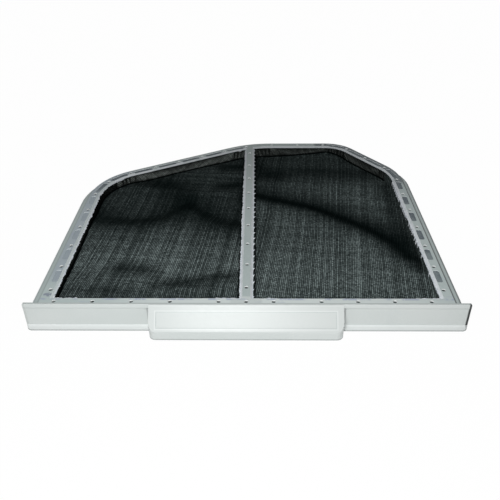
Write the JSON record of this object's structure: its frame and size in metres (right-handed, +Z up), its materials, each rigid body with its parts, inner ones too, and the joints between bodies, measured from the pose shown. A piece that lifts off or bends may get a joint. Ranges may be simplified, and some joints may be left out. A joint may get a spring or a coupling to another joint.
{
  "type": "tumble dryer lint filter",
  "caption": "Flat grey plastic lint filter for a tumble dryer: an asymmetric frame with a pull bar and hollow grip, holding a dark woven screen formed into shallow trays.",
  "frame": {"origin": "centre of the part's box, at the height of the pull bar's lower edge", "axes": "+X along the pull bar, +Y from the grip towards the rear of the frame, +Z up out of the trays"},
  "size_m": [0.31, 0.2836, 0.0214],
  "materials": {
    "frame_plastic": "light grey moulded plastic, fine satin grain, screen showing through at the moulding marks",
    "screen_weave": "dark fine woven filter screen, slack and creased, a little greyed by lint"
  },
  "bodies": {
    "root": {"frame": "frame_plastic", "mesh_screen": "screen_weave"}
  },
  "joints": []
}
